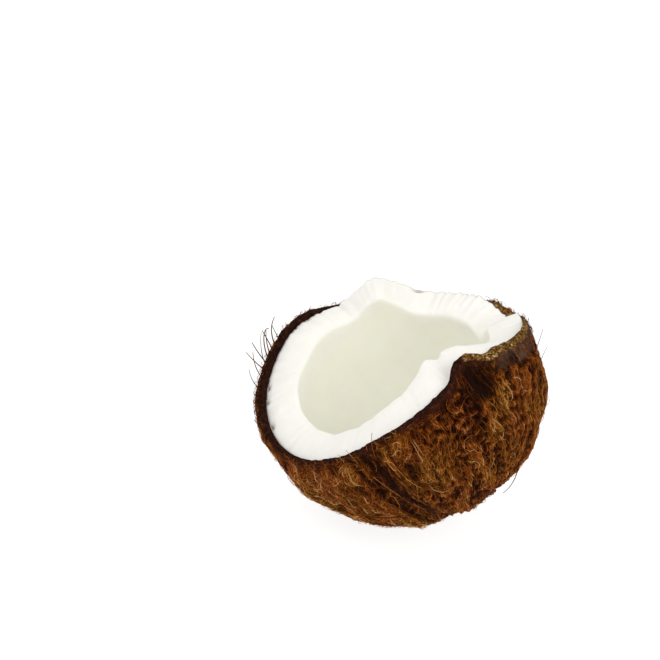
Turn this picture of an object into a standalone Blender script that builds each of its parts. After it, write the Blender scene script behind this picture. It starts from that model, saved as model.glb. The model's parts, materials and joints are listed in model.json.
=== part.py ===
# Half of a dehusked coconut, broken open and lying on its round side.
# Two grown pieces: the hard brown shell with its fibre coat, and the white flesh inside it.
# Metres, +Z up. The half rests on a small flat spot at z = 0, right under the nut's middle.

from math import acos, asin, atan2, cos, degrees, exp, pi, radians, sin, sqrt
from random import Random

import bmesh
import bpy
from mathutils import Matrix, Vector, noise

# Driving dimensions
CROSS_RADIUS = 0.0545  # half width across the nut's long axis, fibre coat included
EYE_RADIUS = 0.0556  # from the nut's middle to its eye end
TAIL_RADIUS = 0.0576  # from the nut's middle to its other end
THREE_SIDED = 0.0010  # how far the nut's three blunt sides stand over a round section
THREE_SIDED_TURN = radians(77)  # where one of those sides faces, round the eye axis
WALL = 0.0037  # hard shell with the pressed part of the coat
THINNEST_WALL = 0.0013  # in the coat's deepest grooves
FLESH_THICKNESS = 0.0136
FLESH_UNEVEN = 0.0006  # how much that thickness wanders
FIT_GAP = 0.0003  # between shell and flesh
REST_CUT = 0.0015  # depth of the worn spot that the half lies on
LEAN = radians(18.8)  # the broken face leans to the -X side
EYE_ROUND, EYE_UP = radians(-22), radians(20)  # where the eye end points, in the face's own frame
COMB_ROUND, COMB_UP = radians(-40), radians(-82)  # where the fibres of the coat run together, below

# Mesh fineness
OUTER_SEGMENTS, OUTER_RINGS = 108, 32
INNER_SEGMENTS, INNER_RINGS = 48, 24
CRACK_STEPS = 132
CRACK_TOP = 0.09  # the crack's drum reaches from here, over everything,
CRACK_MIDDLE = 0.012  # down to here in the middle, where there is only hollow

# The crack line, as (angle round the face in degrees, height over the nut's middle in mm)
SHELL_CRACK = (
    (-180, 6), (-162, 0.5), (-142, -1), (-121, 2), (-101, 8), (-82, 13), (-67, 17.2), (-61.5, 19),
    (-57, 22.8), (-51, 23), (-46, 21), (-40, 17.4), (-34, 16.8), (-24, 13.4), (-15, 11.2), (0, 7.5),
    (18, 3), (30, -0.4), (41, 1.4), (66, 1), (84, 6), (98, 10.5), (108, 11), (118, 14.3),
    (130, 18.8), (145, 18), (161, 12.5),
)
FLESH_CRACK = (
    (-180, 4), (-162, -1), (-142, -2.5), (-121, 0.3), (-101, 6), (-82, 11), (-67, 15.5), (-50, 18),
    (-38, 18), (-31, 16.6), (-22, 13.2), (-13, 10.2), (-5, 8.6), (5, 7.8), (14, 6.6), (21, 3.4),
    (29, -0.6), (39, 4.2), (60, 6.4), (75, 8.5), (83, 14.5), (91, 20.5), (100, 19.5), (110, 15.6),
    (118, 15.2), (130, 17.5), (145, 16.5), (161, 10.5),
)
# Stretches of it, as (middle round the face, reach to each side), in degrees
EYE_BREAK = (-20, 38)
EYE_BAND = (-12, 36)
NEAR_BAND = (-105, 75)
NEAR_CROWN = (-117, 95)
FAR_DIP = (90, 80)
FAR_SAW = (75, 75)
EYE_SLOPE = 0.55  # how steeply the broken shell falls outwards at the eye end
SHELL_EDGE = (0.032, 0.080)  # the shell's break is cut between these distances from the face's axis
SHELL_JAG, SHELL_JAG_FINE = 0.0006, 24  # unevenness of the shell's broken edge, and how fine it is
FLESH_JAG_FINE = 30
CROWN_HEIGHT = 0.0045  # how far the flesh rises from its skin to the hollow on the near side
DIP_DEPTH = 0.0020  # and how far it falls on the far side
# The flesh's break from past the hollow to past the skin: (part of its thickness, saw height)
FLESH_EDGE = ((1.6, 0.0004), (1.0, 0.0005), (0.45, 0.0007), (-0.1, 0.0011), (-2, 0.0011))

# Relief of the fibre coat: heights, and how many fit round the nut
LUMP, LUMP_FINE = 0.0016, 3.1
RIDGE, RIDGE_ROUND, RIDGE_ALONG = 0.0027, 13, 1.6
RIDGE_WANDER, RIDGE_WANDER_FINE = 0.25, 2.3
RIDGE_ENDS = (0.1, 0.6)  # the ridges fade where they run together
GRIT, GRIT_FINE = 0.0012, 21
UNEVEN_FINE = 2.7
BARE_DEPTH = 0.0013  # how far the bare shell lies under the coat
BARE_BAND = (0.0033, 0.0072)  # bare shell along the near side of the crack: all bare, all covered
EYE_BARE_DEPTH, EYE_BARE = 0.0003, (0.0040, 0.0070)  # the same at the eye end, where the coat is thin
# The eye end is a little flat, and the shell thin there: (depth, place, full and no effect)
EYE_DENT = (0.0017, (radians(8), radians(6)), (radians(8), radians(30)))
EYE_THIN = (0.0006, (radians(2), radians(8)), (radians(14), radians(34)))
# A blunt knob beside the break, and a torn pocket under it: (height or depth, place, full and none)
KNOB = (0.0007, (radians(-32), radians(12.5)), (radians(1.8), radians(4.2)))
POCKET = (0.0020, (radians(-50), radians(20)), (radians(3.0), radians(8.5)))
# The fold where one mat of fibre laps over the next
CREASE_TOP = (radians(-107), radians(9))
CREASE_FOOT = (radians(-86), radians(-46))
CREASE_DEPTH, CREASE_WIDTH = 0.0030, 0.0032
CREASE_LIP, CREASE_LIP_OFF = 0.0014, 0.0070
CREASE_FADE_IN, CREASE_FADE_OUT = (-0.25, 0.05), 0.35

# Loose strands of the coat
STRANDS, STRAND_SEED = 48, 7
STRAND_LENGTH = (0.0133, 0.0238)
STRAND_LIFT = (0.0012, 0.0024)  # how far a strand's middle stands over the coat
STRAND_ROOT = 0.0015  # how deep its root is sunk
STRAND_STRAY = 0.5  # how far it turns off the run of the fibres, in radians
STRAND_RADIUS, STRAND_TAPER = 0.00063, 0.65
STRAND_STEPS, STRAND_SIDES = 4, 3
STRAND_CLEAR = 0.009  # from the crack
STRAND_LOWEST = -0.88  # none where the half lies

FACE_ALONG = Vector((cos(LEAN), 0, sin(LEAN)))
FACE_AWAY = Vector((0, 1, 0))
FACE_UP = Vector((-sin(LEAN), 0, cos(LEAN)))


def faceDirection(turn, rise):
    """Unit vector at an angle round the broken face and a rise out of its plane."""
    flat = FACE_ALONG * cos(turn) + FACE_AWAY * sin(turn)
    return flat * cos(rise) + FACE_UP * sin(rise)


def axes(main):
    """A frame of three unit vectors: two beside a main one, and that one."""
    side = main.cross(FACE_UP).normalized()
    return side, main.cross(side), main


EYE_FRAME = axes(faceDirection(EYE_ROUND, EYE_UP))
COMB_FRAME = axes(faceDirection(COMB_ROUND, COMB_UP))


def clearScene():
    for thing in list(bpy.data.objects):
        bpy.data.objects.remove(thing, do_unlink=True)


def finish(name, colour, roughness):
    material = bpy.data.materials.new(name)
    material.use_nodes = True
    shader = material.node_tree.nodes["Principled BSDF"]
    shader.inputs["Base Color"].default_value = (*colour, 1)
    shader.inputs["Roughness"].default_value = roughness
    shader.inputs["Metallic"].default_value = 0
    material.diffuse_color = (*colour, 1)
    return material


def addObject(name, mesh):
    thing = bpy.data.objects.new(name, mesh)
    bpy.context.collection.objects.link(thing)
    return thing


def meshFrom(name, bm):
    mesh = bpy.data.meshes.new(name)
    bm.normal_update()
    bm.to_mesh(mesh)
    bm.free()
    return mesh


def boolean(target, cutter, operation):
    """Apply one Boolean to the target and remove the cutter."""
    cutter.hide_render = True
    cutter.display_type = "WIRE"
    step = target.modifiers.new("cut", "BOOLEAN")
    step.operation = operation
    step.object = cutter
    bakeModifiers(target)
    bpy.data.objects.remove(cutter, do_unlink=True)


def bakeModifiers(target):
    shape = target.evaluated_get(bpy.context.evaluated_depsgraph_get())
    mesh = bpy.data.meshes.new_from_object(shape)
    target.modifiers.clear()
    target.data = mesh


def smoothStep(low, high, value):
    part = min(max((value - low) / (high - low), 0), 1)
    return part * part * (3 - 2 * part)


def roundCurve(points, angle):
    """Height of a closed smooth curve through (degrees, millimetres) points, in metres."""
    angle = (angle + 180) % 360 - 180
    count = len(points)
    index = max(i for i in range(count) if points[i][0] <= angle)
    spans = [(points[(index + k) % count][0], points[(index + k) % count][1]) for k in (-1, 0, 1, 2)]
    turns = [a for a, _ in spans]
    for k in (0, 1):
        while turns[k] > angle:
            turns[k] -= 360
    for k in (2, 3):
        while turns[k] <= angle:
            turns[k] += 360
    heights = [h for _, h in spans]
    slopeIn = (heights[2] - heights[0]) / (turns[2] - turns[0])
    slopeOut = (heights[3] - heights[1]) / (turns[3] - turns[1])
    width = turns[2] - turns[1]
    t = (angle - turns[1]) / width
    rise = heights[1] * (2 * t**3 - 3 * t**2 + 1) + heights[2] * (3 * t**2 - 2 * t**3)
    rise += width * (slopeIn * (t**3 - 2 * t**2 + t) + slopeOut * (t**3 - t**2))
    return rise / 1000


def arc(angle, middle, reach):
    """1 in the middle of a stretch of the face's circle, falling to 0 at its ends."""
    off = abs((angle - middle + 180) % 360 - 180)
    return 1 - smoothStep(reach * 0.6, reach, off)


def jag(angle, fine):
    """Uneven break: a slow wander and a fine saw, between about -1 and 1."""
    turn = radians(angle)
    place = Vector((cos(turn), sin(turn), 0.3))
    return 0.55 * noise.noise(place * fine * 0.35) * 2 + 0.45 * noise.noise(place * fine) * 2


def faceAngle(direction):
    """Angle round the broken face, in degrees."""
    return degrees(atan2(direction.dot(FACE_AWAY), direction.dot(FACE_ALONG)))


def anglesIn(frame, direction):
    """Angle round a frame's main axis, and angle away from it."""
    side, back, main = frame
    turn = atan2(direction.dot(back), direction.dot(side))
    return turn, acos(max(-1, min(1, direction.dot(main))))


def nutRadius(direction, depth=0):
    """Distance from the nut's middle to its mean surface, or to a depth under it."""
    turn, fall = anglesIn(EYE_FRAME, direction)
    end = EYE_RADIUS if fall < pi / 2 else TAIL_RADIUS
    roundPart = (sin(fall) / (CROSS_RADIUS - depth)) ** 2
    longPart = (cos(fall) / (end - depth)) ** 2
    sides = THREE_SIDED * cos(3 * (turn - THREE_SIDED_TURN)) * sin(fall) ** 2
    return 1 / sqrt(roundPart + longPart) + sides


def ball(name, segments, rings, radiusAt):
    """Closed ball combed like the coat, whose radius follows a rule."""
    bm = bmesh.new()
    bmesh.ops.create_uvsphere(bm, u_segments=segments, v_segments=rings, radius=1)
    turn = Matrix(COMB_FRAME).transposed()
    for vertex in bm.verts:
        direction = (turn @ vertex.co).normalized()
        vertex.co = direction * radiusAt(direction)
    return addObject(name, meshFrom(name, bm))


def creaseRelief(direction):
    """A fold where one mat of fibre laps over the next: a groove with a lip on one side."""
    top = faceDirection(*CREASE_TOP)
    foot = faceDirection(*CREASE_FOOT)
    across = top.cross(foot).normalized()
    along = across.cross(top)
    travel = atan2(direction.dot(along), direction.dot(top))
    length = acos(top.dot(foot))
    ends = smoothStep(*CREASE_FADE_IN, travel) * (1 - smoothStep(length, length + CREASE_FADE_OUT, travel))
    off = asin(direction.dot(across)) * CROSS_RADIUS
    groove = -CREASE_DEPTH * exp(-((off / CREASE_WIDTH) ** 2))
    lip = CREASE_LIP * exp(-(((off - CREASE_LIP_OFF) / CREASE_WIDTH) ** 2))
    return (groove + lip) * ends


def spotDepth(direction, depth, place, reach):
    """A depth round a place on the nut, fading to nothing."""
    return depth * (1 - smoothStep(*reach, direction.angle(faceDirection(*place))))


def coatRelief(direction, radius):
    """Height of the fibre coat over the mean outer surface."""
    turn, fall = anglesIn(COMB_FRAME, direction)
    lumps = LUMP * noise.noise(direction * LUMP_FINE)
    turn += RIDGE_WANDER * noise.noise(direction * RIDGE_WANDER_FINE)
    comb = Vector((cos(turn) * RIDGE_ROUND, sin(turn) * RIDGE_ROUND, fall * RIDGE_ALONG))
    ridges = RIDGE * noise.noise(comb) * smoothStep(*RIDGE_ENDS, sin(fall))
    grit = GRIT * noise.noise(direction * GRIT_FINE)
    relief = lumps + ridges + grit + creaseRelief(direction)

    angle = faceAngle(direction)
    under = roundCurve(SHELL_CRACK, angle) - direction.dot(FACE_UP) * radius
    near = arc(angle, *NEAR_BAND) * (1 - smoothStep(*BARE_BAND, under))
    eye = arc(angle, *EYE_BAND) * (1 - smoothStep(*EYE_BARE, under))
    relief = relief * (1 - max(near, eye)) - BARE_DEPTH * near - EYE_BARE_DEPTH * eye
    return relief + spotDepth(direction, *KNOB) - spotDepth(direction, *POCKET)


def outerRadius(direction):
    radius = nutRadius(direction, spotDepth(direction, *EYE_DENT))
    return max(radius + coatRelief(direction, radius), innerRadius(direction) + THINNEST_WALL)


def innerRadius(direction):
    return nutRadius(direction, WALL - spotDepth(direction, *EYE_THIN))


def fleshRadius(direction):
    return nutRadius(direction, WALL + FIT_GAP - spotDepth(direction, *EYE_THIN))


def hollowRadius(direction):
    uneven = FLESH_UNEVEN * noise.noise(direction * UNEVEN_FINE)
    return nutRadius(direction, WALL + FIT_GAP + FLESH_THICKNESS + uneven)


def crackDrum(name, rings):
    """Closed drum over the crack. Its underside is the broken surface, given as rings of
    (distance from the face's axis, rule for the height at an angle)."""
    bm = bmesh.new()
    loops = []
    for reach, heightAt in rings:
        loop = []
        for step in range(CRACK_STEPS):
            angle = -180 + 360 * (step + 0.5) / CRACK_STEPS
            turn = radians(angle)
            flat = (FACE_ALONG * cos(turn) + FACE_AWAY * sin(turn)) * reach
            loop.append(bm.verts.new(flat + FACE_UP * heightAt(angle)))
        loops.append(loop)
    outer = loops[-1]
    loops.append([bm.verts.new(v.co + FACE_UP * (CRACK_TOP - v.co.dot(FACE_UP))) for v in outer])
    for low, high in zip(loops, loops[1:]):
        for step in range(CRACK_STEPS):
            after = (step + 1) % CRACK_STEPS
            bm.faces.new((low[step], high[step], high[after], low[after]))
    for loop, place in ((loops[0], CRACK_MIDDLE), (loops[-1], CRACK_TOP)):
        middle = bm.verts.new(FACE_UP * place)
        for step in range(CRACK_STEPS):
            bm.faces.new((loop[step], loop[(step + 1) % CRACK_STEPS], middle))
    bmesh.ops.recalc_face_normals(bm, faces=bm.faces)
    return addObject(name, meshFrom(name, bm))


def strand(bm, draw):
    """One loose strand: a thin tapered prism whose root is sunk in the coat."""
    while True:
        direction = Vector((draw.gauss(0, 1), draw.gauss(0, 1), draw.gauss(0, 1))).normalized()
        under = roundCurve(SHELL_CRACK, faceAngle(direction)) - direction.dot(FACE_UP) * CROSS_RADIUS
        if under > STRAND_CLEAR and direction.z > STRAND_LOWEST:
            break
    comb = COMB_FRAME[2] - direction * COMB_FRAME[2].dot(direction)
    comb.normalize()
    stray = draw.uniform(-STRAND_STRAY, STRAND_STRAY)
    comb = (comb * draw.choice((-1, 1)) + direction.cross(comb) * stray).normalized()
    length = draw.uniform(*STRAND_LENGTH)
    lift = draw.uniform(*STRAND_LIFT) + STRAND_ROOT
    rows = []
    for step in range(STRAND_STEPS + 1):
        part = step / STRAND_STEPS
        place = (direction + comb * (length * (part - 0.25) / CROSS_RADIUS)).normalized()
        middle = place * (outerRadius(place) - STRAND_ROOT + lift * sin(0.75 * pi * part))
        thick = STRAND_RADIUS * (1 - STRAND_TAPER * part)
        side = place.cross(comb).normalized()
        row = []
        for corner in range(STRAND_SIDES):
            turn = 2 * pi * corner / STRAND_SIDES + pi / 2
            row.append(bm.verts.new(middle + (side * cos(turn) + place * sin(turn)) * thick))
        rows.append(row)
    for low, high in zip(rows, rows[1:]):
        for corner in range(STRAND_SIDES):
            after = (corner + 1) % STRAND_SIDES
            bm.faces.new((low[corner], low[after], high[after], high[corner]))
    bm.faces.new(rows[0][::-1])
    bm.faces.new(rows[-1])


def addStrands(shell):
    """Fuse the loose strands to the coat with one union."""
    draw = Random(STRAND_SEED)
    bunch = bpy.data.collections.new("strands")
    bpy.context.scene.collection.children.link(bunch)
    for index in range(STRANDS):
        bm = bmesh.new()
        strand(bm, draw)
        bmesh.ops.recalc_face_normals(bm, faces=bm.faces)
        name = f"strand_{index:02d}"
        thing = bpy.data.objects.new(name, meshFrom(name, bm))
        thing.hide_render = True
        thing.display_type = "WIRE"
        bunch.objects.link(thing)
    step = shell.modifiers.new("fuse", "BOOLEAN")
    step.operation = "UNION"
    step.operand_type = "COLLECTION"
    step.collection = bunch
    bakeModifiers(shell)
    for thing in list(bunch.objects):
        bpy.data.objects.remove(thing, do_unlink=True)
    bpy.data.collections.remove(bunch)


def restHeight():
    """Height of the nut's middle over the spot that the half lies on."""
    return nutRadius(Vector((0, 0, -1))) - REST_CUT


def cutRestSpot(shell):
    bm = bmesh.new()
    bmesh.ops.create_cube(bm, size=0.1)
    bmesh.ops.translate(bm, verts=bm.verts, vec=(0, 0, -restHeight() - 0.05))
    boolean(shell, addObject("rest", meshFrom("rest", bm)), "DIFFERENCE")


def makeShell():
    shell = ball("shell", OUTER_SEGMENTS, OUTER_RINGS, outerRadius)
    addStrands(shell)
    boolean(shell, ball("hollow", INNER_SEGMENTS, INNER_RINGS, innerRadius), "DIFFERENCE")

    def edge(reach):
        def heightAt(angle):
            slope = EYE_SLOPE * arc(angle, *EYE_BREAK)
            rough = SHELL_JAG * jag(angle, SHELL_JAG_FINE)
            return roundCurve(SHELL_CRACK, angle) + slope * (CROSS_RADIUS - reach) + rough
        return reach, heightAt

    boolean(shell, crackDrum("crack", [edge(reach) for reach in SHELL_EDGE]), "DIFFERENCE")
    cutRestSpot(shell)
    return shell


def makeFlesh():
    flesh = ball("flesh", INNER_SEGMENTS, INNER_RINGS, fleshRadius)
    boolean(flesh, ball("hollow", INNER_SEGMENTS, INNER_RINGS, hollowRadius), "DIFFERENCE")
    skin = CROSS_RADIUS - WALL

    def edge(part, saw):
        def heightAt(angle):
            crown = CROWN_HEIGHT * arc(angle, *NEAR_CROWN) - DIP_DEPTH * arc(angle, *FAR_DIP)
            rough = saw * (0.6 + arc(angle, *FAR_SAW)) * jag(angle, FLESH_JAG_FINE)
            return roundCurve(FLESH_CRACK, angle) + crown * part + rough
        return skin - FLESH_THICKNESS * part, heightAt

    boolean(flesh, crackDrum("crack", [edge(*row) for row in FLESH_EDGE]), "DIFFERENCE")
    return flesh


def dropScraps(thing):
    """Keep the biggest joined body."""
    bm = bmesh.new()
    bm.from_mesh(thing.data)
    left = set(bm.verts)
    groups = []
    while left:
        front = [left.pop()]
        group = set(front)
        while front:
            for link in front.pop().link_edges:
                for vertex in link.verts:
                    if vertex in left:
                        left.remove(vertex)
                        group.add(vertex)
                        front.append(vertex)
        groups.append(group)
    keep = max(groups, key=len)
    bmesh.ops.delete(bm, geom=[v for v in bm.verts if v not in keep], context="VERTS")
    bm.to_mesh(thing.data)
    bm.free()


def shade(thing, material, sharp):
    thing.data.materials.clear()
    thing.data.materials.append(material)
    thing.data.shade_smooth()
    thing.data.set_sharp_from_angle(angle=radians(sharp))


def main():
    clearScene()
    shell = makeShell()
    flesh = makeFlesh()
    for thing in (shell, flesh):
        dropScraps(thing)
        thing.location.z = restHeight()
    shade(shell, finish("fibrous shell", (0.16, 0.065, 0.02), 0.85), 50)
    shade(flesh, finish("white flesh", (0.86, 0.85, 0.79), 0.45), 35)


main()
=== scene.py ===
import json
from math import cos, pi, radians, sin

import bmesh
import bpy
import numpy as np
from mathutils import Matrix, Vector, noise

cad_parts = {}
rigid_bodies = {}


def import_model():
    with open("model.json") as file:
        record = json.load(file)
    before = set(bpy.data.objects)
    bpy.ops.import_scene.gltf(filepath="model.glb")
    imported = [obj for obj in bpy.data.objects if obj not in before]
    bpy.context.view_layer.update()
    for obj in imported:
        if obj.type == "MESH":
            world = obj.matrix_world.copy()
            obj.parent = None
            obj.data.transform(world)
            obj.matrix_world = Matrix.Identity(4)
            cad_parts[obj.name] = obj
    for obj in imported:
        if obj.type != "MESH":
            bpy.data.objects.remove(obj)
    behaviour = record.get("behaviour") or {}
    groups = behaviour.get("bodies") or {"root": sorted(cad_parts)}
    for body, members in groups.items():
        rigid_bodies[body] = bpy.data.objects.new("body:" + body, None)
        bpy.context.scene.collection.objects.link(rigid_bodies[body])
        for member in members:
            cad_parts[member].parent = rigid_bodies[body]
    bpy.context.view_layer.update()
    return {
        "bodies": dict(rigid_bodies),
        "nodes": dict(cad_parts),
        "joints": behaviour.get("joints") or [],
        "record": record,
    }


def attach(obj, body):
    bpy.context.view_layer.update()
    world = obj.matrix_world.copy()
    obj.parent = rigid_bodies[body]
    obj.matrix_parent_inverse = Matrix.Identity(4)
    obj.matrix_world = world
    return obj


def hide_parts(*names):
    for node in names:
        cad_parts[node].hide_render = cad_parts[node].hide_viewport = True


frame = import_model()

millimetre = 0.001

# The nut that the half is broken from, as in the solids: metres and degrees
nut = {
    "crossRadius": 0.0545,
    "eyeRadius": 0.0556,
    "tailRadius": 0.0576,
    "threeSided": 0.0010,
    "threeSidedTurn": 77,
    "restCut": 0.0015,
    "wall": 0.0037,
    "thinnestWall": 0.0013,
    "lean": 18.8,
    "eyePlace": (-22, 20),
    "combPlace": (-40, -82),
    "fleshThickness": 0.0136,
    "fleshUneven": 0.0006,
    "fitGap": 0.0003,
    "eyeDent": (0.0017, (8, 6), (8, 30)),
    "eyeThin": (0.0006, (2, 8), (14, 34)),
}

# The crack: degrees round the broken face, and millimetres over the nut's middle
crack = {
    "shell": (
        (-180, 6), (-162, 0.5), (-142, -1), (-121, 2), (-101, 8), (-82, 13), (-67, 17.2), (-61.5, 19),
        (-57, 22.8), (-51, 23), (-46, 21), (-40, 17.4), (-34, 16.8), (-24, 13.4), (-15, 11.2), (0, 7.5),
        (18, 3), (30, -0.4), (41, 1.4), (66, 1), (84, 6), (98, 10.5), (108, 11), (118, 14.3),
        (130, 18.8), (145, 18), (161, 12.5),
    ),
    "flesh": (
        (-180, 4), (-162, -1), (-142, -2.5), (-121, 0.3), (-101, 6), (-82, 11), (-67, 15.5), (-50, 18),
        (-38, 18), (-31, 16.6), (-22, 13.2), (-13, 10.2), (-5, 8.6), (5, 7.8), (14, 6.6), (21, 3.4),
        (29, -0.6), (39, 4.2), (60, 6.4), (75, 8.5), (83, 14.5), (91, 20.5), (100, 19.5), (110, 15.6),
        (118, 15.2), (130, 17.5), (145, 16.5), (161, 10.5),
    ),
    "eyeSlope": 0.55,
    "eyeBreak": (-20, 38),
    "fleshCrown": (0.0045, (-117, 95)),
    "fleshDip": (0.002, (90, 80)),
}

lean = radians(nut["lean"])
faceAlong = np.array([cos(lean), 0, sin(lean)])
faceAway = np.array([0.0, 1.0, 0.0])
faceUp = np.array([-sin(lean), 0, cos(lean)])


def faceDirection(turn, rise):
    # unit vectors at degrees round the broken face and degrees out of its plane
    turn = np.radians(np.asarray(turn, float))[..., None]
    rise = np.radians(np.asarray(rise, float))[..., None]
    return (faceAlong * np.cos(turn) + faceAway * np.sin(turn)) * np.cos(rise) + faceUp * np.sin(rise)


def unit(vectors):
    return vectors / np.maximum(np.linalg.norm(vectors, axis=-1, keepdims=True), 1e-12)


def axes(main):
    # three unit vectors: two beside a main one, and that one
    side = unit(np.cross(main, faceUp))
    return side, np.cross(main, side), main


eyeFrame = axes(faceDirection(*nut["eyePlace"]))
combFrame = axes(faceDirection(*nut["combPlace"]))


def smoothStep(low, high, value):
    part = np.clip((value - low) / (high - low), 0, 1)
    return part * part * (3 - 2 * part)


def arc(angle, middle, reach):
    # 1 in the middle of a stretch round the face, 0 past its ends
    off = np.abs((angle - middle + 180) % 360 - 180)
    return 1 - smoothStep(reach * 0.6, reach, off)


def hump(value, middle, width):
    # a bell curve: 1 in the middle, falling off over a width
    return np.exp(-(((value - middle) / width) ** 2))


def between(angle, low, high, soft):
    # 1 from one angle to another, falling to 0 just outside them
    return smoothStep(low - soft, low, angle) * (1 - smoothStep(high, high + soft, angle))


def roundCurve(points, angles):
    # closed smooth curve through the crack's points, read at any angles
    turns = np.array([p[0] for p in points], float)
    heights = np.array([p[1] for p in points], float)
    count = len(turns)
    angles = (np.asarray(angles, float) + 180) % 360 - 180
    here = (np.searchsorted(turns, angles, side="right") - 1) % count

    def at(step):
        index = here + step
        return turns[index % count] + 360 * (index // count), heights[index % count]

    (t0, h0), (t1, h1), (t2, h2), (t3, h3) = (at(k) for k in (-1, 0, 1, 2))
    width = t2 - t1
    part = (angles - t1) / width
    slopeIn = (h2 - h0) / (t2 - t0)
    slopeOut = (h3 - h1) / (t3 - t1)
    rise = h1 * (2 * part**3 - 3 * part**2 + 1) + h2 * (3 * part**2 - 2 * part**3)
    rise += width * (slopeIn * (part**3 - 2 * part**2 + part) + slopeOut * (part**3 - part**2))
    return rise * millimetre


def scatter(cells, seed):
    # a repeatable random number from 0 to 1 for each cell of a grid
    cells = cells.astype(np.int64)
    mixed = (cells[..., 0] * 73856093) ^ (cells[..., 1] * 19349663) ^ (cells[..., 2] * 83492791)
    mixed = (mixed ^ (seed * 40503 + 977)) & 0xFFFFFFFF
    mixed = ((mixed ^ (mixed >> 15)) * 2246822519) & 0xFFFFFFFF
    mixed = ((mixed ^ (mixed >> 13)) * 3266489917) & 0xFFFFFFFF
    return ((mixed ^ (mixed >> 16)) & 0xFFFFFF) / 0xFFFFFF


def grain(points, size, seed):
    # smooth random relief from -1 to 1, with lumps of a size in metres
    spot = points / size + seed * 17.31
    cell = np.floor(spot)
    part = spot - cell
    part = part * part * (3 - 2 * part)
    total = np.zeros(points.shape[:-1])
    for corner in range(8):
        step = np.array([corner & 1, corner >> 1 & 1, corner >> 2])
        weight = np.prod(np.where(step, part, 1 - part), axis=-1)
        total += weight * scatter(cell + step, seed)
    return total * 2 - 1


def softNoise(points):
    return np.array([noise.noise(Vector(p)) for p in points])


def anglesIn(frame, directions):
    # radians round a frame's main axis, and radians away from it
    side, back, main = frame
    turn = np.arctan2(directions @ back, directions @ side)
    return turn, np.arccos(np.clip(directions @ main, -1, 1))


def nutRadius(directions, depth=0.0):
    turn, fall = anglesIn(eyeFrame, directions)
    end = np.where(fall < pi / 2, nut["eyeRadius"], nut["tailRadius"])
    roundPart = (np.sin(fall) / (nut["crossRadius"] - depth)) ** 2
    longPart = (np.cos(fall) / (end - depth)) ** 2
    sides = nut["threeSided"] * np.cos(3 * (turn - radians(nut["threeSidedTurn"]))) * np.sin(fall) ** 2
    return 1 / np.sqrt(roundPart + longPart) + sides


middle = np.array([0, 0, nutRadius(np.array([[0, 0, -1.0]]))[0] - nut["restCut"]])


def spotShare(directions, place, reach):
    # 1 round a place on the nut, falling to 0: reach as degrees of full and of no effect
    off = np.degrees(np.arccos(np.clip(directions @ faceDirection(*place), -1, 1)))
    return 1 - smoothStep(*reach, off)


def innerRadius(directions, gap=0.0):
    depth, place, reach = nut["eyeThin"]
    return nutRadius(directions, nut["wall"] + gap - depth * spotShare(directions, place, reach))


def outerRadius(directions, relief=0.0):
    depth, place, reach = nut["eyeDent"]
    radius = nutRadius(directions, depth * spotShare(directions, place, reach)) + relief
    return np.maximum(radius, innerRadius(directions) + nut["thinnestWall"])


def fleshRadius(directions):
    return innerRadius(directions, nut["fitGap"])


def faceAngle(directions):
    return np.degrees(np.arctan2(directions @ faceAway, directions @ faceAlong))


def belowCrack(directions):
    # metres along the face's normal from the shell's edge down to a spot on the coat
    return roundCurve(crack["shell"], faceAngle(directions)) - (directions @ faceUp) * nutRadius(directions)


# The coat's relief, and where painted shade darkens it: heights and widths in metres, places in degrees round
# the face and out of its plane
coat = {
    "lump": 0.0007,
    "lumpPitch": 3.1,
    "ridge": 0.0010,
    "ridgePitch": (13, 1.6),
    "ridgeWander": (0.25, 2.3),
    "swing": 0.40,
    "swingSize": 0.011,
    "streak": 0.0006,
    "streakWidth": 0.0012,
    "streakReach": 0.007,
    "pit": 0.0006,
    "pitSize": 0.0034,
    "crackDepth": 0.0014,
    "crackSpacing": 0.0026,
    "crackReach": 0.017,
    "crackPlace": (-30, 66),
    "crackWidth": 0.15,
    "edgeCalm": 0.005,
    "nearRim": (-105, 75),
    "sunk": 0.0013,
    "sunkBand": (0.0033, 0.0072),
    "bareBand": 0.0024,
    "raggedSize": 0.0032,
    "eyeBand": (-12, 36),
    "eyeSunk": 0.0003,
    "eyeBare": (0.0036, 0.0064),
    "knob": (0.0007, (-32, 12.5), (1.8, 4.2)),
    "recess": (0.0020, (-50, 20), (3.0, 8.5)),
    # painted shade: a dark patch round the recess, wider than its dent, that darkens the coat and its fibres;
    # it has no relief of its own
    "torn": ((-52, 15), (4.0, 10.0)),
    "creaseTop": (-107, 9),
    "creaseFoot": (-86, -46),
    "creaseDepth": 0.0030,
    "creaseWidth": 0.0032,
    "creaseLip": 0.0014,
    "creaseFade": (0.25, 0.05, 0.35),
    "combedFold": (-0.006, 0.009, 0.004),
    "foldLines": ((-0.0056, 0.85), (-0.0028, 0.4), (0.0, 1.0), (0.0045, 0.35)),
    # width of the band of painted shade along the fold; the band has no relief of its own
    "foldShadeWidth": 0.0022,
    "foldLineDepth": 0.0014,
    "foldLineWidth": 0.0011,
    "foldWaver": (0.0009, 0.009),
}

creaseTop = faceDirection(*coat["creaseTop"])
creaseFoot = faceDirection(*coat["creaseFoot"])
creaseNormal = unit(np.cross(creaseTop, creaseFoot))
creaseAlong = np.cross(creaseNormal, creaseTop)
creaseLength = np.arccos(creaseTop @ creaseFoot)


def creasePlace(directions):
    # how far along the fold, 0 to 1 on it, and metres off to its side
    travel = np.arctan2(directions @ creaseAlong, directions @ creaseTop)
    before, inside, after = coat["creaseFade"]
    ends = smoothStep(-before, inside, travel)
    ends = ends * (1 - smoothStep(creaseLength, creaseLength + after, travel))
    return ends, np.arcsin(np.clip(directions @ creaseNormal, -1, 1)) * nut["crossRadius"]


def flowAt(directions):
    # which way the fibres run: from the crack down to where the coat comes together, swinging a bit
    main = combFrame[2]
    flow = unit(main - directions * (directions @ main)[:, None])
    swing = (coat["swing"] * grain(directions * nut["crossRadius"], coat["swingSize"], 3))[:, None]
    return flow * np.cos(swing) + np.cross(directions, flow) * np.sin(swing)


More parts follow.
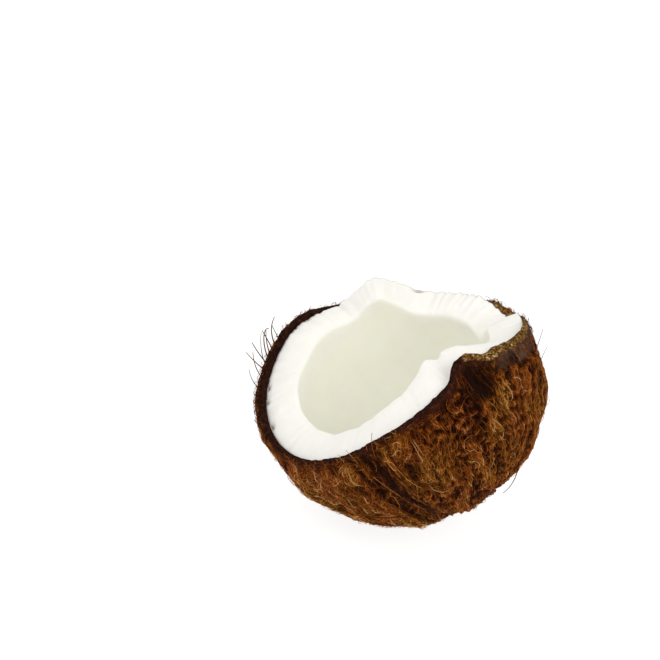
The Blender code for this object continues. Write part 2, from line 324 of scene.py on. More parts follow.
def streakAt(directions, width, reach, seed, steps=4):
    # random relief smeared along the fibres, about -1 to 1
    total = grain(directions * nut["crossRadius"], width, seed)
    for sense in (-1, 1):
        spot = directions
        for _ in range(steps):
            spot = unit(spot + flowAt(spot) * (sense * reach / steps / nut["crossRadius"]))
            total = total + grain(spot * nut["crossRadius"], width, seed)
    return total / (2 * steps + 1) * 2.2


def bareShares(directions):
    # where the coat is sunk under the near rim and at the eye end, and where hard shell shows
    angle, under = faceAngle(directions), belowCrack(directions)
    ragged = grain(directions * nut["crossRadius"], coat["raggedSize"], 11)
    nearRim = arc(angle, *coat["nearRim"])
    sunk = nearRim * (1 - smoothStep(*coat["sunkBand"], under))
    near = nearRim * (1 - smoothStep(0.5, 1.2, under / coat["bareBand"] + 0.5 * ragged))
    eye = arc(angle, *coat["eyeBand"]) * (1 - smoothStep(*coat["eyeBare"], under + 0.0008 * ragged))
    return sunk, near, eye


def combedShare(directions):
    # 1 where straight ridges run down the coat: at the eye end and along the fold
    ends, off = creasePlace(directions)
    fold = ends * between(off, *coat["combedFold"])
    return np.maximum(arc(faceAngle(directions), *coat["crackPlace"]), 0.9 * fold)


def lumpsAndRidges(directions):
    # broad lumps, and ridges that run down to where the coat comes together
    turn, fall = anglesIn(combFrame, directions)
    lumps = coat["lump"] * softNoise(directions * coat["lumpPitch"]) * 2
    sway, swayPitch = coat["ridgeWander"]
    wander = turn + sway * softNoise(directions * swayPitch)
    across, along = coat["ridgePitch"]
    comb = np.stack([np.cos(wander) * across, np.sin(wander) * across, fall * along], 1)
    return lumps + coat["ridge"] * softNoise(comb) * smoothStep(0.1, 0.6, np.sin(fall)) * 1.5


def coatRelief(directions):
    # height of the coat over the nut's mean surface, and what the finish reads, painted shade in the coat's
    # hollows among it
    places = directions * nut["crossRadius"]
    streak = streakAt(directions, coat["streakWidth"], coat["streakReach"], 21)
    combed = combedShare(directions)
    pits = smoothStep(0.10, 0.60, -grain(places, coat["pitSize"], 31)) * (1 - 0.7 * combed)
    split = streakAt(directions, coat["crackSpacing"], coat["crackReach"], 22)
    split = hump(split, 0, coat["crackWidth"]) * (0.10 + 0.90 * combed)
    ends, off = creasePlace(directions)
    waverDepth, waverSize = coat["foldWaver"]
    waver = off + waverDepth * grain(places, waverSize, 33)
    groove = hump(off, 0, coat["creaseWidth"]) * ends
    lip = hump(off, 2.2 * coat["creaseWidth"], coat["creaseWidth"]) * ends
    # painted shade: a band along the fold that only darkens the coat and its fibres, and gives no relief
    fold = 0.85 * hump(waver, 0, coat["foldShadeWidth"]) * ends
    lines = np.max([share * hump(waver, place, coat["foldLineWidth"])
                    for place, share in coat["foldLines"]], axis=0) * ends
    relief = lumpsAndRidges(directions) + coat["streak"] * streak - coat["pit"] * pits
    relief -= coat["crackDepth"] * split
    relief += coat["creaseLip"] * lip - coat["creaseDepth"] * groove - coat["foldLineDepth"] * lines
    relief *= 0.35 + 0.65 * smoothStep(0, coat["edgeCalm"], belowCrack(directions))
    sunk, near, eye = bareShares(directions)
    relief = relief * (1 - np.maximum(sunk, eye)) - coat["sunk"] * sunk - coat["eyeSunk"] * eye
    knob = spotShare(directions, *coat["knob"][1:])
    recess = spotShare(directions, *coat["recess"][1:])
    relief += coat["knob"][0] * knob - coat["recess"][0] * recess
    # painted shade: the dark patch round the recess
    torn = spotShare(directions, *coat["torn"])
    # painted shade, read by the finish and the fibres as the groove mark: darker along the fold and its
    # lines, in the splits, pits and recess, and in the patch round it
    hollow = np.max([fold, lines, split, 0.5 * pits, recess, torn], axis=0)
    bare = np.maximum(near, eye)
    return relief, {"streak": streak, "bare": bare, "eye": eye, "groove": hollow, "knob": knob}


def addNode(tree, kind, settings=None, inputs=None):
    node = tree.nodes.new(kind)
    for key, value in (settings or {}).items():
        setattr(node, key, value)
    for key, value in (inputs or {}).items():
        if isinstance(value, bpy.types.NodeSocket):
            tree.links.new(value, node.inputs[key])
        else:
            node.inputs[key].default_value = value
    return node


def bowl(bm, segments, rows):
    # a grid rolled into a bowl: its sides meet in a seam, and its first row in the bottom point
    grid = bmesh.ops.create_grid(bm, x_segments=segments, y_segments=rows, size=0.5)["verts"]
    lines = [grid[k:k + segments + 1] for k in range(0, len(grid), segments + 1)]
    joins = {line[-1]: line[0] for line in lines[1:]}
    joins.update({vertex: lines[0][0] for vertex in lines[0][1:]})
    bmesh.ops.weld_verts(bm, targetmap=joins)
    verts = [lines[0][0]] + [vertex for line in lines[1:] for vertex in line[:-1]]
    spots = np.array([v.co for v in verts]) + 0.5
    return verts, lines[-1][:-1], spots[:, 0] * 360 - 180, spots[:, 1]


def markPoints(verts, layer, values):
    for vertex, value in zip(verts, values):
        vertex[layer] = value


def joinEdges(bm, outer, inner, layer, cuts):
    # closes the gap between two edges with a ladder of faces, and gives the points on it
    loops = [[bm.edges.get((ring[k - 1], ring[k])) for k in range(len(ring))] for ring in (outer, inner)]
    ladder = bmesh.ops.bridge_loops(bm, edges=loops[0] + loops[1])
    bmesh.ops.subdivide_edges(bm, edges=ladder["edges"], cuts=cuts, use_grid_fill=True)
    verts = [v for v in bm.verts if 0 < v[layer] < 1]
    return verts, np.array([v.co for v in verts]), np.array([v[layer] for v in verts])


def edgeRise(heights, angles, radiusAt):
    # degrees out of the face's plane at which a surface reaches these heights
    rise = np.degrees(np.arcsin(heights / nut["crossRadius"]))
    for _ in range(4):
        radius = radiusAt(faceDirection(angles, rise))
        rise = np.degrees(np.arcsin(np.clip(heights / radius, -1, 1)))
    return rise


def placeVerts(verts, places):
    for vertex, place in zip(verts, places):
        vertex.co = place


def finishMesh(name, bm):
    bmesh.ops.recalc_face_normals(bm, faces=bm.faces)
    mesh = bpy.data.meshes.new(name)
    bm.to_mesh(mesh)
    bm.free()
    mesh.shade_smooth()
    piece = bpy.data.objects.new(name, mesh)
    bpy.context.collection.objects.link(piece)
    return piece


shellForm = {
    "segments": 540,
    "rows": 150,
    "innerRows": 8,
    "rimCuts": 6,
    "rimJag": 0.0005,
    "rimRough": 0.00055,
    "tanRough": 0.0009,
    "porousStretch": (-49, 44, 4),
}


def rimHeights(angles, inside):
    # height of the shell's broken edge at its outer or inner side
    ring = faceDirection(angles, np.zeros_like(angles)) * nut["crossRadius"]
    shift = 0.35 if inside else 0
    jag = grain(ring + shift, 0.0016, 41) * 0.5 + grain(ring, 0.005, 42) * 0.7
    slope = crack["eyeSlope"] * arc(angles, *crack["eyeBreak"]) * (nut["wall"] if inside else 0)
    return roundCurve(crack["shell"], angles) + slope + shellForm["rimJag"] * jag


def porousShare(angles):
    # the eye end's broken edge is pale and porous, and so is the flake behind it
    return between(angles, *shellForm["porousStretch"])


def makeShell():
    bm = bmesh.new()
    layers = {key: bm.verts.layers.float.new(key)
              for key in ("streak", "bare", "eye", "groove", "knob", "across", "rim", "porous")}
    outer, outerEdge, angles, up = bowl(bm, shellForm["segments"], shellForm["rows"])
    rise = -90 + (edgeRise(rimHeights(angles, False), angles, outerRadius) + 90) * up
    directions = faceDirection(angles, rise)
    relief, marks = coatRelief(directions)
    placeVerts(outer, middle + directions * outerRadius(directions, relief)[:, None])
    for key, values in marks.items():
        markPoints(outer, layers[key], values)

    inner, innerEdge, angles, up = bowl(bm, shellForm["segments"], shellForm["innerRows"])
    rise = -90 + (edgeRise(rimHeights(angles, True), angles, innerRadius) + 90) * up
    directions = faceDirection(angles, rise)
    placeVerts(inner, middle + directions * innerRadius(directions)[:, None])
    markPoints(inner, layers["across"], np.ones(len(inner)))
    markPoints(inner, layers["rim"], np.ones(len(inner)))
    markPoints(inner, layers["porous"], porousShare(angles))

    rim, spots, across = joinEdges(bm, outerEdge, innerEdge, layers["across"], shellForm["rimCuts"])
    porous = porousShare(faceAngle(spots - middle))
    rough = shellForm["rimRough"] + (shellForm["tanRough"] - shellForm["rimRough"]) * porous
    rough = rough * (grain(spots, 0.0011, 51) + 0.6 * grain(spots, 0.0026, 52))
    placeVerts(rim, spots + faceUp * rough[:, None])
    markPoints(rim, layers["rim"], np.ones(len(rim)))
    markPoints(rim, layers["porous"], porous)

    for vertex in bm.verts:
        vertex.co.z = max(vertex.co.z, 0)
    print("shell", len(bm.verts), "points")
    return finishMesh("coconutShell", bm)


fleshForm = {
    "segments": 480,
    "skinRows": 8,
    "hollowRows": 46,
    "faceCuts": 16,
    "saw": 0.0007,
    "striation": 0.00005,
    "faceLump": 0.0005,
    "bulge": 0.0007,
    "ripple": (0.00012, 0.037, 0.004),
    # painted light: the hollow's left side keeps more of the face's paler colour, lifting the shade its wall
    # falls in
    "paintedLightSide": (0.09, (-165, 95)),
    "softening": 5,
    "notchReach": 0.16,
    "stainNotch": 0.0012,
    "steps": ((-63, 4.5, 0.0015), (-53, 3.5, -0.0016)),
    "notches": ((170, 1.3, 0.0016), (177, 1.0, 0.0012), (-170, 1.4, 0.0016), (76, 1.8, 0.0014)),
}


def fleshHeights(angles, inside):
    # height of the flesh's broken face at its skin or at the hollow
    ring = faceDirection(angles, np.zeros_like(angles)) * nut["crossRadius"]
    height = roundCurve(crack["flesh"], angles)
    if inside:
        (crownHeight, crownArc), (dip, dipArc) = crack["fleshCrown"], crack["fleshDip"]
        crown = crownHeight * arc(angles, *crownArc) - dip * arc(angles, *dipArc)
        for place, width, step in fleshForm["steps"]:
            crown += step * hump(angles, place, width)
        return height + crown + 0.0006 * grain(ring, 0.007, 61) + 0.0002 * grain(ring, 0.002, 62)
    far = 0.45 + 0.9 * arc(angles, 80, 75)
    saw = grain(ring, 0.0015, 63) + 0.8 * grain(ring, 0.0045, 64)
    return height + fleshForm["saw"] * far * saw


def makeFlesh():
    bm = bmesh.new()
    depthLayer, across, stain = (bm.verts.layers.float.new(key) for key in ("depth", "across", "stain"))
    skin, skinEdge, angles, up = bowl(bm, fleshForm["segments"], fleshForm["skinRows"])
    rise = -90 + (edgeRise(fleshHeights(angles, False), angles, fleshRadius) + 90) * up
    directions = faceDirection(angles, rise)
    placeVerts(skin, middle + directions * fleshRadius(directions)[:, None])

    hollow, hollowEdge, angles, up = bowl(bm, fleshForm["segments"], fleshForm["hollowRows"])
    hollowDepth = nut["wall"] + nut["fitGap"] + nut["fleshThickness"]
    rise = edgeRise(fleshHeights(angles, True), angles, lambda places: nutRadius(places, hollowDepth))
    directions = faceDirection(angles, -90 + (rise + 90) * up)
    uneven = nut["fleshUneven"] * softNoise(directions * 2.7)
    depth, width, size = fleshForm["ripple"]
    ripple = depth * grain(directions * width, size, 65)
    radius = nutRadius(directions, hollowDepth + uneven) + ripple
    placeVerts(hollow, middle + directions * radius[:, None])
    # painted light: the depth mark is lowered on the hollow's left side, so the paler face colour reaches
    # further down that shaded wall
    pale, paintedLightArc = fleshForm["paintedLightSide"]
    markPoints(hollow, depthLayer, 1 - up - pale * arc(angles, *paintedLightArc))
    markPoints(hollow, across, np.ones(len(hollow)))

    face, spots, part = joinEdges(bm, skinEdge, hollowEdge, across, fleshForm["faceCuts"])
    turn = faceAngle(spots - middle)
    ring = faceDirection(turn, np.zeros(len(face))) * nut["crossRadius"]
    notches = [deep * hump(turn, place, width) for place, width, deep in fleshForm["notches"]]
    notch = np.max(notches, axis=0) * (1 - smoothStep(0.0, fleshForm["notchReach"], part))
    striation = fleshForm["striation"] * grain(ring, 0.0011, 66) * np.sin(pi * part)
    lump = fleshForm["faceLump"] * grain(spots, 0.006, 67) * np.sin(pi * part)
    bulge = fleshForm["bulge"] * np.sin(pi * part)
    placeVerts(face, spots + faceUp * (striation + lump + bulge - notch)[:, None])
    markPoints(face, stain, notch / fleshForm["stainNotch"])

    # the edge of the hollow is rounded over
    soft = [v for v in bm.verts if v[across] > 0.80 and v[depthLayer] < 0.05]
    for _ in range(fleshForm["softening"]):
        bmesh.ops.smooth_vert(bm, verts=soft, factor=0.5, use_axis_x=True, use_axis_y=True, use_axis_z=True)

    print("flesh", len(bm.verts), "points")
    return finishMesh("coconutFlesh", bm)


# Where curly fibres stand out: degrees round the face, out of its plane, and reach
curlySpots = ((-71, 14, 5), (-69, 8, 5), (-110, 4, 5), (-93, 3, 6), (-114, -4, 6), (-140, -20, 8),
              (-122, -36, 7), (-106, -46, 6), (-100, -54, 5), (-52, -14, 10), (-40, 2, 7), (60, -30, 16),
              (150, -20, 16), (-165, -20, 10))

# The coat's fibres: lengths, thickness and lifts in metres, stray and curl in radians. A band is a stretch
# below the crack, and "over" is how far past the crack fibres may reach
fibreKinds = {
    "lyingFibres": dict(
        pieces=5, count=6600, points=4, length=(0.002, 0.006), thick=(0.00006, 0.00011),
        stray=0.40, curl=0.15, lift=(0.0, 0.0003), tone=(0.0, 0.70), combed=1.0, seed=100),
    "mattedFibres": dict(
        pieces=3, count=6000, points=4, length=(0.0012, 0.0038), thick=(0.00005, 0.00010),
        stray=1.20, curl=0.45, lift=(0.0, 0.0005), tone=(0.05, 0.78), combed=0.40, seed=200),
    "looseFibres": dict(
        pieces=1, count=900, points=8, length=(0.004, 0.011), thick=(0.00006, 0.00011),
        stray=0.50, curl=0.20, lift=(0.0003, 0.0012), tone=(0.30, 1.0), combed=0.7, seed=300),
    "rimFibres": dict(
        pieces=1, count=1500, points=5, length=(0.0015, 0.0042), thick=(0.00005, 0.00011),
        stray=1.20, curl=0.30, lift=(0.0, 0.0010), tone=(0.0, 0.60), combed=0.6, seed=500,
        band=(0.0, 0.0030), over=0.0022),
    "curlyFibres": dict(
        pieces=1, count=420, points=10, length=(0.003, 0.007), thick=(0.00007, 0.00011),
        stray=1.4, curl=0.24, lift=(0.0003, 0.0012), tone=(0.40, 0.92), combed=0.6, seed=400,
        spots=curlySpots),
}
# the groove tone is painted shade: fibres in the coat's creases, splits, pits and recess are made darker
fibreTone = {"base": 0.17, "streak": 0.18, "clump": 0.14, "clumpSize": 0.0036, "groove": -0.60}
fibreRoot = 0.0002

# Single hairs: thickness in mm, tone, then (degrees round the face, degrees up, mm over the coat)
singleHairs = (
    (0.34, 0.30, ((154, 14, -0.5), (155, 21, 1.2), (156, 28, 1.0))),
    (0.30, 0.32, ((161, 12, -0.5), (162, 16, 3.2), (164, 21, 5.4))),
    (0.34, 0.26, ((158, 13, -0.5), (158, 18, 3.2), (161, 24, 4.2))),
    (0.32, 0.34, ((156, 14, -0.5), (156, 22, 2.6), (152, 27, 3.4), (150, 24, 2.0))),
    (0.30, 0.28, ((152, 16, -0.5), (153, 23, 2.2), (157, 28, 2.2))),
    (0.32, 0.30, ((150, 17, -0.5), (150, 24, 2.4), (147, 29, 1.8))),
    (0.28, 0.24, ((165, 11, -0.5), (165, 16, 2.0), (163, 21, 2.8))),
    (0.21, 0.20, ((147, 18, -0.5), (148, 24, 1.6), (151, 28, 1.0))),
    (0.22, 0.16, ((159, 13, -0.5), (160, 20, 1.4), (157, 27, 2.4))),
    (0.21, 0.18, ((170, 9, -0.5), (171, 13, 1.8), (169, 17, 3.0))),
    (0.15, 0.90, ((-95, 0, 0.2), (-93, -9, 1.0), (-90, -19, 0.9), (-82, -22, 0.3))),
    (0.26, 0.05, ((-40, -31, -0.4), (-40, -36, 1.6), (-42, -44, 3.4), (-45, -51, 4.4))),
    (0.16, 0.10, ((1, -5, -0.4), (3, -1, 2.4), (6, 1, 4.6))),
    (0.15, 0.10, ((-2, -9, -0.4), (1, -7, 2.2), (4, -6, 4.4))),
    (0.12, 0.60, ((-99, 14, 0.4), (-101, 9, 1.2), (-101, 3, 0.2))),
    (0.11, 0.90, ((-112, 8, 0.2), (-106, -6, 1.0), (-99, -20, 0.8), (-97, -30, 0.1))),
    (0.10, 0.85, ((-116, 6, 0.2), (-112, -8, 0.9), (-106, -20, 0.3))),
)


def tubeNodes():
    # turns lines of points into closed three-sided tubes of the points' own thickness
    tree = bpy.data.node_groups.new("fibreTubes", "GeometryNodeTree")
    for way in ("INPUT", "OUTPUT"):
        tree.interface.new_socket("Geometry", in_out=way, socket_type="NodeSocketGeometry")
    start = addNode(tree, "NodeGroupInput").outputs[0]
    lines = addNode(tree, "GeometryNodeMeshToCurve", None, {"Mesh": start}).outputs["Curve"]
    thick = addNode(tree, "GeometryNodeInputNamedAttribute", {"data_type": "FLOAT"}, {"Name": "thick"})
    ring = addNode(tree, "GeometryNodeCurvePrimitiveCircle", None, {"Resolution": 3, "Radius": 1.0})
    tube = addNode(tree, "GeometryNodeCurveToMesh", None, {
        "Curve": lines, "Profile Curve": ring.outputs["Curve"], "Scale": thick.outputs["Attribute"],
        "Fill Caps": True})
    addNode(tree, "NodeGroupOutput", None, {0: tube.outputs["Mesh"]})
    return tree


def tubes(name, paths, thickness, tones):
    # a thin tube along each path
    count, points = paths.shape[:2]
    lines = bpy.data.meshes.new(name + "Lines")
    order = np.arange(count * points).reshape(count, points)
    edges = np.stack([order[:, :-1].ravel(), order[:, 1:].ravel()], 1)
    lines.from_pydata(paths.reshape(-1, 3), edges, [])
    for label, values in (("thick", thickness), ("tone", tones)):
        lines.attributes.new(label, "FLOAT", "POINT").data.foreach_set("value", values.ravel())
    piece = bpy.data.objects.new(name, lines)
    bpy.context.collection.objects.link(piece)
    piece.modifiers.new("tubes", "NODES").node_group = fibreTubes
    mesh = bpy.data.meshes.new_from_object(piece.evaluated_get(bpy.context.evaluated_depsgraph_get()))
    piece.modifiers.clear()
    piece.data = mesh
    mesh.name = name
    mesh.attributes.remove(mesh.attributes["thick"])
    mesh.shade_smooth()
    return piece


def coatSpots(random, count, kind):
    # random places on the coat, clear of the bare shell and the crack, and thinner in its splits
    found = np.zeros((0, 3))
    spots = kind.get("spots")
    low, high = kind.get("band", (0.0008, 1.0))
    while len(found) < count:
        if spots is None:
            places = unit(random.normal(size=(count * 2, 3)))
        else:
            chosen = np.array(spots)[random.integers(0, len(spots), count * 2)]
            turn, rise = (chosen[:, k] + random.normal(0, 0.6, count * 2) * chosen[:, 2] for k in (0, 1))
            places = faceDirection(turn, rise)
        under = belowCrack(places)
        places = places[(under > low) & (under < high)]
        relief, marks = coatRelief(places)
        bare = 0 if "band" in kind else marks["bare"]
        chance = (1 - bare) * (1 - 0.95 * marks["groove"]) * (0.6 + 0.4 * marks["streak"])
        chance *= 1 + (kind["combed"] - 1) * combedShare(places)
        found = np.vstack([found, places[random.random(len(places)) < chance]])
    return found[:count]


def growFibres(name, kind, seed):
    # one piece of the coat: fibres with their roots and tips sunk in it and their middles lifted
    random = np.random.default_rng(seed)
    count, points = kind["count"], kind["points"]
    spot = coatSpots(random, count, kind)
    combed = combedShare(spot) * kind["combed"]
    length = random.uniform(*kind["length"], count) * (1 + 0.5 * combed)
    sense = np.where(random.random(count) < 0.5, -1.0, 1.0)
    stray = random.normal(0, kind["stray"], count) * (1 - 0.7 * combed)
    curl = random.normal(0, kind["curl"], count)
    lift = random.uniform(*kind["lift"], count)
    step = length / (points - 1) / nut["crossRadius"]
    spots = []
    for index in range(points):  # each fibre creeps over the nut, strays from the flow and curls
        spots.append(spot)
        turn = (stray + curl * (index - points / 2))[:, None]
        flow = flowAt(spot) * sense[:, None]
        heading = flow * np.cos(turn) + np.cross(spot, flow) * np.sin(turn)
        spot = unit(spot + heading * step[:, None])
    flatSpots = np.stack(spots, 1).reshape(-1, 3)
    relief, marks = coatRelief(flatSpots)
    radius = outerRadius(flatSpots, relief).reshape(count, points)
    part = np.linspace(0, 1, points)[None, :]
    arch = np.sin(pi * part * random.uniform(0.62, 1.0, count)[:, None])
    edge = belowCrack(flatSpots).reshape(count, points)
    height = radius - fibreRoot + (lift[:, None] + fibreRoot) * arch
    over = kind.get("over", 0.0)
    if not over:  # what would stand up past the crack dips into the shell
        height -= 0.0012 * (1 - smoothStep(-0.0005, 0.0012, edge))
    paths = middle + flatSpots.reshape(count, points, 3) * height[..., None]
    thick = random.uniform(*kind["thick"], count)[:, None] * (1 - 0.6 * np.abs(2 * part - 1) ** 3)
    paths[..., 2] = np.maximum(paths[..., 2], thick)
    streak, groove, bare = (marks[key].reshape(count, points) for key in ("streak", "groove", "bare"))
    clump = grain(flatSpots * nut["crossRadius"], fibreTone["clumpSize"], 71).reshape(count, points)
    low, high = kind["tone"]
    tones = low + (high - low) * random.random(count)[:, None] ** 1.3
    tones = tones + fibreTone["base"] + fibreTone["streak"] * streak
    # painted shade: fibres are darkened where they lie in the groove mark
    tones += fibreTone["clump"] * clump + fibreTone["groove"] * groove
    # none reaches far past the crack or lies on bare shell, apart from the fringe of the rim
    keep = (edge > -max(over, 0.0015)).all(1) & ((bare < 0.6).all(1) | (over > 0))
    print(name, int(keep.sum()), "fibres")
    return tubes(name, paths[keep], thick[keep], tones[keep])


def growHairs(steps=12):
    # each hair is a smooth curve led by its points, and thins towards its tip
    paths = []
    part = np.linspace(0, 1, steps)[:, None]
    for _, _, points in singleHairs:
        turns, rises, heights = np.array(points, float).T
        directions = faceDirection(turns, rises)
        radius = outerRadius(directions, coatRelief(directions)[0]) + heights * millimetre
        line = list(middle + directions * radius[:, None])
        while len(line) > 1:
            line = [start * (1 - part) + end * part for start, end in zip(line, line[1:])]
        paths.append(line[0])
    taper = 1 - 0.5 * np.linspace(0, 1, steps)
    thick = np.array([hair[0] * millimetre for hair in singleHairs])[:, None] * taper
    tones = np.array([hair[1] for hair in singleHairs])[:, None] * np.ones(steps)
    print("single hairs", len(paths))
    return tubes("singleHairs", np.array(paths), thick, tones)


def linear(code):
    # an sRGB hex colour as linear values
    values = [int(code[k:k + 2], 16) / 255 for k in (1, 3, 5)]
    return (*[v / 12.92 if v <= 0.04045 else ((v + 0.055) / 1.055) ** 2.4 for v in values], 1)


def ramp(tree, value, stops):
    # a colour for each value, from (place, hex) stops
    node = addNode(tree, "ShaderNodeValToRGB", inputs={"Fac": value})
    elements = node.color_ramp.elements
    while len(elements) < len(stops):
        elements.new(0.5)
    for element, (place, code) in zip(elements, stops):
        element.position = place
        element.color = linear(code)
    return node.outputs["Color"]


def startMaterial(name):
    material = bpy.data.materials.new(name)
    material.use_nodes = True
    tree = material.node_tree
    shader = tree.nodes["Principled BSDF"]
    place = addNode(tree, "ShaderNodeTexCoord").outputs["Object"]
    return material, tree, shader, place


def mark(tree, name):
    return addNode(tree, "ShaderNodeAttribute", {"attribute_name": name}).outputs["Fac"]


def mixColour(tree, share, first, second):
    node = addNode(tree, "ShaderNodeMix", {"data_type": "RGBA"})
    for index, value in ((0, share), (6, first), (7, second)):
        if isinstance(value, bpy.types.NodeSocket):
            tree.links.new(value, node.inputs[index])
        else:
            node.inputs[index].default_value = value
    return node.outputs[2]


def maths(tree, operation, *values):
    return addNode(tree, "ShaderNodeMath", {"operation": operation}, dict(enumerate(values))).outputs[0]


def speckle(tree, place, size, detail=4.0, rough=0.6):
    # noise whose lumps have a size in metres
    inputs = {"Vector": place, "Scale": 1 / size, "Detail": detail, "Roughness": rough}
    return addNode(tree, "ShaderNodeTexNoise", None, inputs).outputs["Fac"]


shellColours = {
    "coat": ((0.20, "#1a0802"), (0.42, "#4a2106"), (0.60, "#7e4310"), (0.85, "#b06e26")),
    "bare": ((0.30, "#190903"), (0.52, "#37180c"), (0.80, "#5f3320")),
    "eye": ((0.30, "#352217"), (0.55, "#4b3526"), (0.80, "#6a4d37")),
    "rim": ((0.30, "#0f0502"), (0.55, "#2c140b"), (0.85, "#55301f")),
    "porous": ((0.38, "#1c0d04"), (0.48, "#5a3a16"), (0.57, "#8a6834"), (0.68, "#d8c190")),
    "knob": "#1d1210",
}
shellGrain = {"fine": 0.0007, "patch": 0.006, "bare": 0.0022, "eye": 0.0030, "rim": 0.0012, "porous": 0.0010}


def shellFinish():
    # coconut shell in its coir: matt matted fibre, with dark hard shell where it is bare, and painted shade
    # darkening the coat in its creases, splits, pits and recess
    material, tree, shader, place = startMaterial("coconut shell with coir")
    fine = speckle(tree, place, shellGrain["fine"])
    streaked = maths(tree, "MULTIPLY_ADD", mark(tree, "streak"), 0.14, fine)
    patched = maths(tree, "MULTIPLY_ADD", speckle(tree, place, shellGrain["patch"]), 0.40, streaked)
    # painted shade: the coat is darkened in its creases, splits, pits and recess
    tuned = maths(tree, "MULTIPLY_ADD", mark(tree, "groove"), -0.35, patched)
    colour = ramp(tree, maths(tree, "SUBTRACT", tuned, 0.20), shellColours["coat"])
    bareColour = ramp(tree, speckle(tree, place, shellGrain["bare"]), shellColours["bare"])
    eyeColour = ramp(tree, speckle(tree, place, shellGrain["eye"]), shellColours["eye"])
    eyeColour = mixColour(tree, mark(tree, "knob"), eyeColour, linear(shellColours["knob"]))
    bareColour = mixColour(tree, mark(tree, "eye"), bareColour, eyeColour)
    colour = mixColour(tree, mark(tree, "bare"), colour, bareColour)
    rimColour = ramp(tree, speckle(tree, place, shellGrain["rim"]), shellColours["rim"])
    colour = mixColour(tree, mark(tree, "rim"), colour, rimColour)
    porousColour = ramp(tree, speckle(tree, place, shellGrain["porous"], 6.0, 0.7), shellColours["porous"])
    colour = mixColour(tree, mark(tree, "porous"), colour, porousColour)
    tree.links.new(colour, shader.inputs["Base Color"])
    shader.inputs["Roughness"].default_value = 0.85
    shader.inputs["Specular IOR Level"].default_value = 0.05
    bump = addNode(tree, "ShaderNodeBump", None, {"Height": fine, "Strength": 0.6, "Distance": 0.0004})
    tree.links.new(bump.outputs["Normal"], shader.inputs["Normal"])
    return material


fleshColours = {
    "face": "#f6f4ef",
    "faceShade": "#f0ede4",
    "hollow": "#f1f0e1",
    "hollowPale": "#f8f7ec",
    "skin": "#6a4026",
}
fleshGrain = {"face": 0.0025, "hollow": 0.010, "hollowEdge": 0.007, "bump": 0.0009}
fleshLook = {"edgeMix": (0.06, 0.20), "roughness": (0.60, 0.38), "softness": 0.35, "softReach": 0.003}


def fleshFinish():
    # fresh coconut meat: white, slightly translucent, broken matt and wet in the hollow
    material, tree, shader, place = startMaterial("fresh coconut flesh")
    face = mixColour(tree, speckle(tree, place, fleshGrain["face"]), linear(fleshColours["face"]),
                     linear(fleshColours["faceShade"]))
    hollow = mixColour(tree, speckle(tree, place, fleshGrain["hollow"], 2.0), linear(fleshColours["hollow"]),
                       linear(fleshColours["hollowPale"]))
    broad = speckle(tree, place, fleshGrain["hollowEdge"], 2.0)
    # the depth mark carries painted light on the hollow's left side
    depth = maths(tree, "MULTIPLY_ADD", broad, 0.10, mark(tree, "depth"))
    low, high = fleshLook["edgeMix"]
    share = addNode(tree, "ShaderNodeMapRange", {"interpolation_type": "SMOOTHSTEP"},
                    {"Value": depth, "From Min": low, "From Max": high}).outputs["Result"]
    colour = mixColour(tree, share, face, hollow)
    skin = addNode(tree, "ShaderNodeMapRange", None,
                   {"Value": mark(tree, "across"), "From Min": 0.02, "From Max": 0.0})
    colour = mixColour(tree, skin.outputs["Result"], colour, linear(fleshColours["skin"]))
    colour = mixColour(tree, mark(tree, "stain"), colour, linear(fleshColours["skin"]))
    tree.links.new(colour, shader.inputs["Base Color"])
    matt, wet = fleshLook["roughness"]
    rough = addNode(tree, "ShaderNodeMapRange", None, {"Value": share, "To Min": matt, "To Max": wet})
    tree.links.new(rough.outputs["Result"], shader.inputs["Roughness"])
    shader.inputs["IOR"].default_value = 1.42
    shader.inputs["Subsurface Weight"].default_value = fleshLook["softness"]
    shader.inputs["Subsurface Radius"].default_value = (1.0, 0.9, 0.7)
    shader.inputs["Subsurface Scale"].default_value = fleshLook["softReach"]
    bump = addNode(tree, "ShaderNodeBump", None,
                   {"Height": speckle(tree, place, fleshGrain["bump"]), "Strength": 0.25, "Distance": 0.0002})
    tree.links.new(bump.outputs["Normal"], shader.inputs["Normal"])
    return material


fibreColours = {
    "golden": (
        (0.0, "#1e0a01"), (0.30, "#5f3407"), (0.60, "#9c5e16"), (0.85, "#c08238"), (1.0, "#deb274")),
    "russet": (
        (0.0, "#1e0801"), (0.30, "#5f2806"), (0.60, "#9e5016"), (0.85, "#c47c3c"), (1.0, "#e0b07c")),
}


def fibreFinish():
    # dry coir: matt brown fibre, golden in one patch of the coat and russet in the next
    material, tree, shader, place = startMaterial("coir fibre")
    tone = mark(tree, "tone")
    patch = addNode(tree, "ShaderNodeMapRange", None,
                    {"Value": speckle(tree, place, 0.016, 2.0), "From Min": 0.40, "From Max": 0.62})
    colour = mixColour(tree, patch.outputs["Result"], ramp(tree, tone, fibreColours["russet"]),
                       ramp(tree, tone, fibreColours["golden"]))
    tree.links.new(colour, shader.inputs["Base Color"])
    shader.inputs["Roughness"].default_value = 0.70
    shader.inputs["Specular IOR Level"].default_value = 0.06
    return material


def dress(piece, material):
    piece.data.materials.clear()
    piece.data.materials.append(material)
    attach(piece, "root")


studio = {
    "lookDown": 30,
    "distance": 0.7,
    "lens": 100,
    "sensor": 36,
    "frame": 660,
    "middlePixel": (400, 380.5),
    "world": 0.68,
    "floorSize": 4,
    "floorGlow": 0.87,
    "floorShades": ("#888887", "#8a8a8a"),
    "key": dict(place=(-0.75, 0.10, 1.15), size=0.8, power=5.0),
    "fill": dict(place=(0.75, -0.75, 0.80), size=0.8, power=6.6),
}


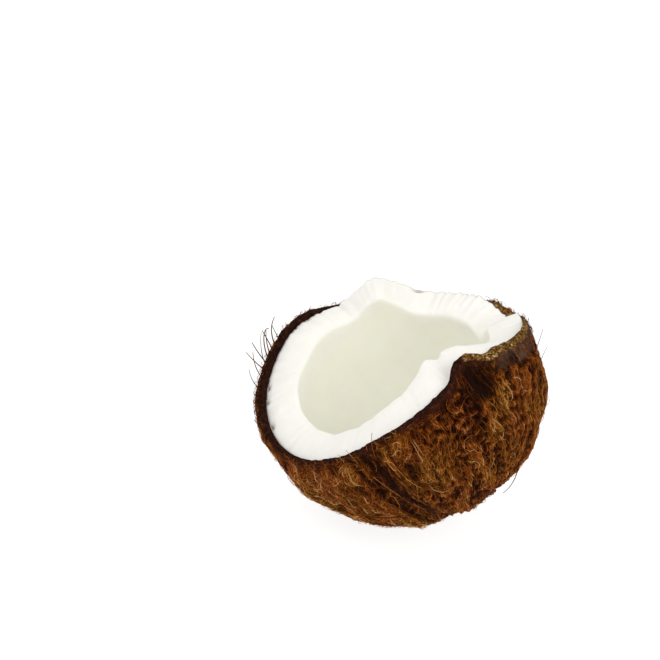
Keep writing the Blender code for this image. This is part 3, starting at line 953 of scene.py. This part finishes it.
def addCamera():
    look = radians(studio["lookDown"])
    right = np.array([1.0, 0, 0])
    forward = np.array([0, cos(look), -sin(look)])
    up = np.array([0, sin(look), cos(look)])
    pixel = studio["sensor"] / studio["lens"] / studio["frame"]
    across = (studio["middlePixel"][0] - studio["frame"] / 2) * pixel
    down = (studio["middlePixel"][1] - studio["frame"] / 2) * pixel
    spot = middle - (forward + right * across - up * down) * studio["distance"]
    camera = bpy.data.cameras.new("camera")
    camera.lens = studio["lens"]
    camera.sensor_width = studio["sensor"]
    eye = bpy.data.objects.new("camera", camera)
    bpy.context.collection.objects.link(eye)
    turn = Matrix((Vector(right), Vector(up), Vector(-forward))).transposed().to_4x4()
    eye.matrix_world = Matrix.Translation(Vector(spot)) @ turn
    bpy.context.scene.camera = eye


def addLight(name, place, size, power):
    light = bpy.data.lights.new(name, "AREA")
    light.size = size
    light.energy = power
    lamp = bpy.data.objects.new(name, light)
    bpy.context.collection.objects.link(lamp)
    aim = Vector(middle) - Vector(place)
    turn = aim.to_track_quat("-Z", "Y").to_matrix().to_4x4()
    lamp.matrix_world = Matrix.Translation(Vector(place)) @ turn


def addWorld():
    world = bpy.data.worlds.new("studio")
    world.use_nodes = True
    background = world.node_tree.nodes["Background"]
    background.inputs["Color"].default_value = (1, 1, 1, 1)
    background.inputs["Strength"].default_value = studio["world"]
    bpy.context.scene.world = world


def addFloor():
    # a matt sheet that glows as white as the backdrop, so only a faint shade shows under the half
    bm = bmesh.new()
    bmesh.ops.create_grid(bm, x_segments=1, y_segments=1, size=studio["floorSize"])
    mesh = bpy.data.meshes.new("floor")
    bm.to_mesh(mesh)
    bm.free()
    floor = bpy.data.objects.new("floor", mesh)
    bpy.context.collection.objects.link(floor)
    material, tree, shader, place = startMaterial("white paper floor")
    shade = mixColour(tree, speckle(tree, place, 0.02), *map(linear, studio["floorShades"]))
    tree.links.new(shade, shader.inputs["Base Color"])
    shader.inputs["Roughness"].default_value = 0.9
    shader.inputs["Emission Strength"].default_value = studio["floorGlow"]
    shader.inputs["Emission Color"].default_value = (1, 1, 1, 1)
    floor.data.materials.append(material)


addCamera()
addWorld()
for name in ("key", "fill"):
    addLight(name, **studio[name])
addFloor()
bpy.context.scene.view_settings.view_transform = "Standard"
print("studio ready")

shell = makeShell()
dress(shell, shellFinish())
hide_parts("shell")

flesh = makeFlesh()
dress(flesh, fleshFinish())
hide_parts("flesh")

coir = fibreFinish()
fibreTubes = tubeNodes()
for label, kind in fibreKinds.items():
    for index in range(kind["pieces"]):
        number = str(index + 1) if kind["pieces"] > 1 else ""
        dress(growFibres(label + number, kind, kind["seed"] + index), coir)
dress(growHairs(), coir)
